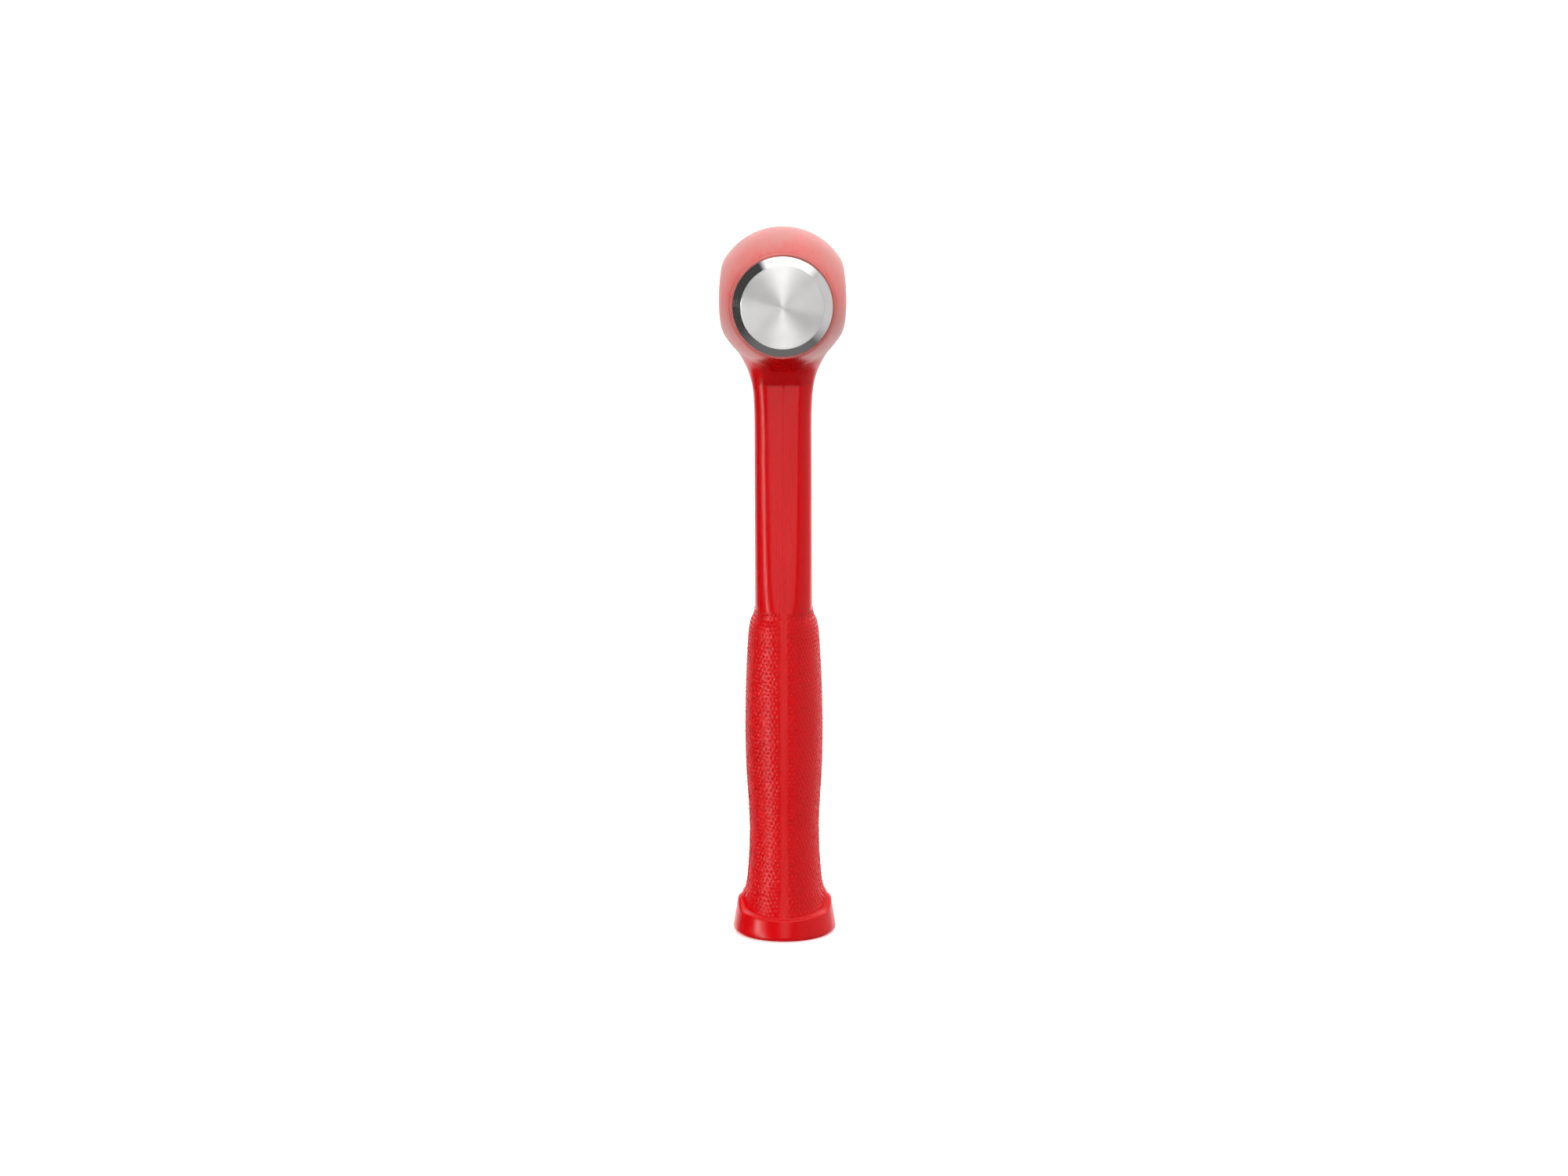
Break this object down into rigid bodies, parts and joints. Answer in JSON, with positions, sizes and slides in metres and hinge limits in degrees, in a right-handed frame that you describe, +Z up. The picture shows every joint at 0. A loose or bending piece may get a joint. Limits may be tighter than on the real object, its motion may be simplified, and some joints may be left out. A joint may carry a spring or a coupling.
{
  "type": "ball peen hammer",
  "caption": "Dead-blow ball peen hammer: flat steel striking face and steel ball on a red cast urethane body with a pebbled grip, loose shot inside.",
  "frame": {"origin": "centre of the flat underside of the butt, on the handle's axis", "axes": "+Z up the handle to the head; the head axis runs along Y, with the flat striking face towards -Y and the ball peen towards +Y; +X is on the right of someone who looks at the striking face"},
  "size_m": [0.0574, 0.122, 0.328],
  "materials": {
    "urethane_red": "semi-gloss cast urethane",
    "turned_steel": "fine turned",
    "mild_steel": "drawn, dull",
    "pin_steel": "spring steel, satin",
    "shot_steel": "worn smooth",
    "spacer_nylon": "matte moulded"
  },
  "bodies": {
    "hammer": {"urethane_casting": "urethane_red", "striking_face": "turned_steel", "ball_peen": "turned_steel", "canister_tube": "mild_steel", "face_retaining_pin": "pin_steel", "peen_retaining_pin": "pin_steel", "rod_socket": "mild_steel", "handle_rod": "mild_steel", "socket_cross_pin": "pin_steel", "rod_spacer_upper": "spacer_nylon", "rod_spacer_lower": "spacer_nylon"},
    "shot_charge": {"shot_01": "shot_steel", "shot_02": "shot_steel", "shot_03": "shot_steel", "shot_04": "shot_steel", "shot_05": "shot_steel", "shot_06": "shot_steel", "shot_07": "shot_steel", "shot_08": "shot_steel", "shot_09": "shot_steel", "shot_10": "shot_steel", "shot_11": "shot_steel", "shot_12": "shot_steel", "shot_13": "shot_steel", "shot_14": "shot_steel", "shot_15": "shot_steel", "shot_16": "shot_steel", "shot_17": "shot_steel", "shot_18": "shot_steel", "shot_19": "shot_steel", "shot_20": "shot_steel", "shot_21": "shot_steel", "shot_22": "shot_steel", "shot_23": "shot_steel", "shot_24": "shot_steel", "shot_25": "shot_steel", "shot_26": "shot_steel", "shot_27": "shot_steel", "shot_28": "shot_steel", "shot_29": "shot_steel", "shot_30": "shot_steel", "shot_31": "shot_steel", "shot_32": "shot_steel", "shot_33": "shot_steel", "shot_34": "shot_steel", "shot_35": "shot_steel", "shot_36": "shot_steel"}
  },
  "joints": [
    {"name": "shot_slide", "type": "slide", "parent": "hammer", "child": "shot_charge", "axis": [0, 1, 0], "range_m": [-0.007, 0.007]}
  ]
}
